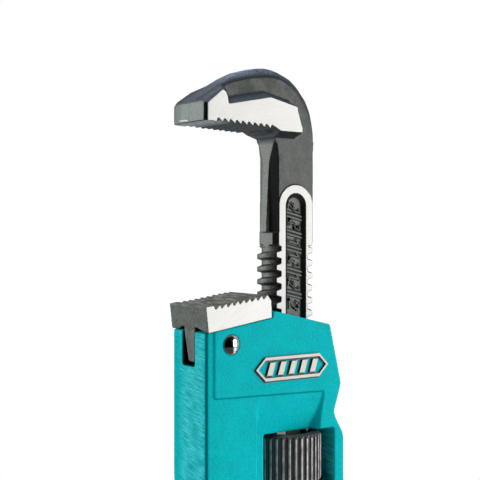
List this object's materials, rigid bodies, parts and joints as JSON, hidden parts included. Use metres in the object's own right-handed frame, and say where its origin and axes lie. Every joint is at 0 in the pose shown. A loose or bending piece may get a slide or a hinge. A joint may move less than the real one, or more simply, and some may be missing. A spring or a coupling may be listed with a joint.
{
  "type": "pipe wrench",
  "caption": "Adjustable pipe wrench: a painted cast handle and housing, a toothed heel jaw, and a hooked sliding jaw driven by a fluted nut.",
  "frame": {"origin": "centre of the hanging hole, in the middle of the handle's thickness", "axes": "+Z along the handle to the jaws, -X towards the jaw tips, Y across the thickness"},
  "size_m": [0.0638, 0.028, 0.3495],
  "materials": {
    "painted_casting": "semi-gloss enamel over a lightly textured casting",
    "black_forging": "black oxide, faintly blue on the rounded edges",
    "dark_nut": "black oxide, worn bright on the flutes",
    "hardened_jaw": "grey hardened steel with bright ground sides",
    "ground_steel": "ground bright",
    "chrome_pin": "polished",
    "spring_steel": "blued spring steel"
  },
  "bodies": {
    "handle": {"handle_housing": "painted_casting", "heel_jaw": "hardened_jaw", "heel_jaw_pin": "chrome_pin"},
    "spring_leaf": {"flat_spring": "spring_steel", "coil_spring": "spring_steel", "spring_rivet": "spring_steel"},
    "nut": {"adjusting_nut": "dark_nut"},
    "jaw": {"hook_jaw": "black_forging"}
  },
  "joints": [
    {"name": "jaw_rock", "type": "hinge", "parent": "handle", "child": "spring_leaf", "pos_m": [0.02, 0, 0.1894], "axis": [0, -1, 0], "range_deg": [0, 1.2], "stiffness_Nm_per_rad": 10, "springref_deg": -2.86},
    {"name": "nut_spin", "type": "hinge", "parent": "spring_leaf", "child": "nut", "pos_m": [0.02, 0, 0.1894], "axis": [0, 0, 1], "range_deg": [-181, 4321]},
    {"name": "jaw_slide", "type": "slide", "parent": "spring_leaf", "child": "jaw", "axis": [0, 0, 1], "range_m": [-0.0576, 0.0024]}
  ],
  "couplings": [
    {"joint": "nut_spin", "follows": "jaw_slide", "rad_per_m": -1309}
  ]
}
